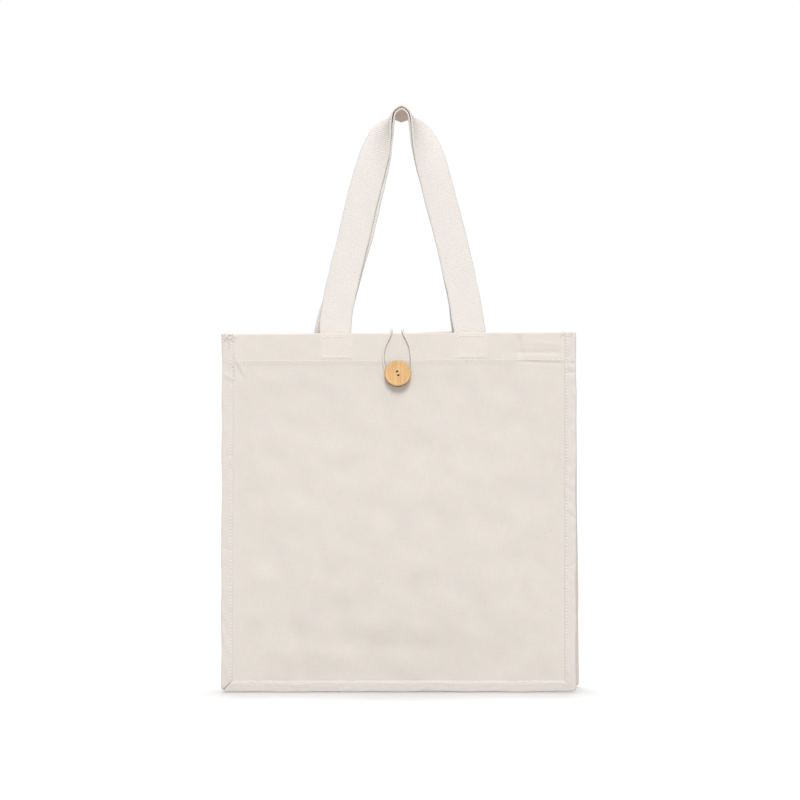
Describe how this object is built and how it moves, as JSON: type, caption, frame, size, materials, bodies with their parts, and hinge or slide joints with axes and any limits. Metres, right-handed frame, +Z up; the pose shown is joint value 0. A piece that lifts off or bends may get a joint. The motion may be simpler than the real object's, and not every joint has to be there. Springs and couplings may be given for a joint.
{
  "type": "cotton bag",
  "caption": "Flat cotton canvas bag with bound seams, a folded gusset, webbing handles and an elastic loop over a round bamboo button, hanging by its handles.",
  "frame": {"origin": "where the bag hangs: the middle of the underside of the inner handle's arch", "axes": "+Z up, the front of the bag faces -Y, +X to the right seen from the front"},
  "size_m": [0.35, 0.0492, 0.5781],
  "materials": {
    "canvas": "matt natural cotton canvas, plain weave",
    "binding": "matt natural cotton canvas tape, stitched",
    "webbing": "matt natural cotton webbing, crosswise ribs",
    "elastic": "covered round elastic, matt",
    "bamboo": "satin, fine straight grain",
    "thread": "spun sewing thread"
  },
  "bodies": {
    "root": {"front_panel": "canvas", "back_panel": "canvas", "gusset_left": "canvas", "gusset_base": "canvas", "gusset_right": "canvas", "front_binding_left": "binding", "front_binding_base": "binding", "front_binding_right": "binding", "back_binding_left": "binding", "back_binding_base": "binding", "back_binding_right": "binding", "front_handle": "webbing", "back_handle": "webbing", "elastic_loop": "elastic", "button": "bamboo", "button_thread": "thread"}
  },
  "joints": []
}
